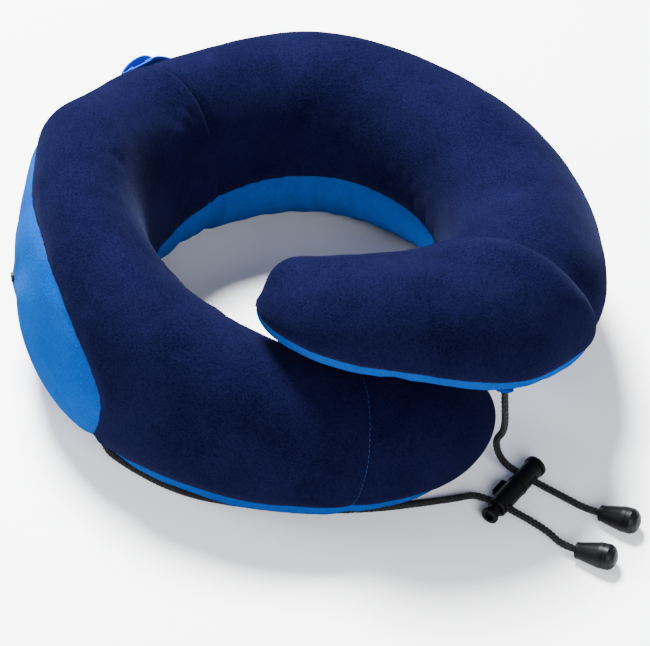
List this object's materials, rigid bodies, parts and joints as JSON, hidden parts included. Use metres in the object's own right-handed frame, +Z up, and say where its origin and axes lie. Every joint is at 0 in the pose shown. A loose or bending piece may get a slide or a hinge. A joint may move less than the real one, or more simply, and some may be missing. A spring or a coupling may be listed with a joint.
{
  "type": "u shaped neck pillow",
  "caption": "Memory-foam travel neck pillow in a two-tone velour cover; its arms curl round and overlap in front, with a draw cord, cord lock, zip and hang loop.",
  "frame": {"origin": "centre of the neck opening, on the surface that the pillow lies on", "axes": "+Z up along the neck opening; +Y towards the nape; +X towards the side where the ring climbs to the raised arm"},
  "size_m": [0.3085, 0.3156, 0.1256],
  "materials": {
    "velour_navy": "short-pile velour",
    "velour_blue": "short-pile velour",
    "foam": "open-cell memory foam",
    "zip_tape": "woven tape",
    "zip_plastic": "moulded coil",
    "zip_metal": "black enamel",
    "webbing_blue": "ribbed webbing",
    "thread_blue": "stitched thread",
    "cord_black": "braided cord",
    "plastic_black": "satin moulded",
    "spring_steel": "bright wire"
  },
  "bodies": {
    "pillow": {"foam_core": "foam", "cover_low_tip": "velour_navy", "cover_front": "velour_navy", "cover_back": "velour_navy", "panel_side": "velour_blue", "panel_underside": "velour_blue", "zip_tape_upper": "zip_tape", "zip_tape_lower": "zip_tape", "zip_coil": "zip_plastic", "zip_stop_front": "zip_metal", "zip_stop_back": "zip_metal", "draw_cord_left": "cord_black", "draw_cord_right": "cord_black", "cord_end_cone_left": "plastic_black", "cord_end_cone_right": "plastic_black", "cord_end_cap_left": "plastic_black", "cord_end_cap_right": "plastic_black", "cord_knot_left": "cord_black", "cord_knot_right": "cord_black"},
    "raised_arm": {"foam_raised_arm": "foam", "cover_raised_arm": "velour_navy", "panel_raised_underside": "velour_blue", "cord_exit": "thread_blue"},
    "zip_slider": {"zip_slider": "zip_metal"},
    "zip_pull": {"zip_pull": "zip_metal"},
    "hang_loop": {"hang_loop": "webbing_blue"},
    "cord_lock": {"lock_barrel": "plastic_black", "lock_spring": "spring_steel"},
    "lock_plunger": {"lock_plunger": "plastic_black"}
  },
  "joints": [
    {"name": "arm_swing", "type": "hinge", "parent": "pillow", "child": "raised_arm", "pos_m": [0.144, 0, 0.055], "axis": [0, 0.2756, 0.9613], "range_deg": [0, 38], "stiffness_Nm_per_rad": 0.6},
    {"name": "lock_slide", "type": "slide", "parent": "pillow", "child": "cord_lock", "axis": [0.8, -0.6, 0], "range_m": [0, 0.018]},
    {"name": "plunger_press", "type": "slide", "parent": "cord_lock", "child": "lock_plunger", "axis": [0.6, 0.8, 0], "range_m": [0, 0.0032], "stiffness_N_per_m": 900, "deforming": ["lock_spring"]},
    {"name": "zip_run", "type": "hinge", "parent": "pillow", "child": "zip_slider", "pos_m": [0, 0, 0.047], "axis": [0, 0, 1], "range_deg": [0, 48.8]},
    {"name": "pull_swing", "type": "hinge", "parent": "zip_slider", "child": "zip_pull", "pos_m": [-0.10074, 0.12178, 0.047], "axis": [0, 0, -1], "range_deg": [0, 165]},
    {"name": "loop_flex", "type": "hinge", "parent": "pillow", "child": "hang_loop", "pos_m": [-0.09535, 0.10777, 0.086], "axis": [0.749, 0.6626, 0], "range_deg": [-8, 8], "stiffness_Nm_per_rad": 0.02}
  ]
}
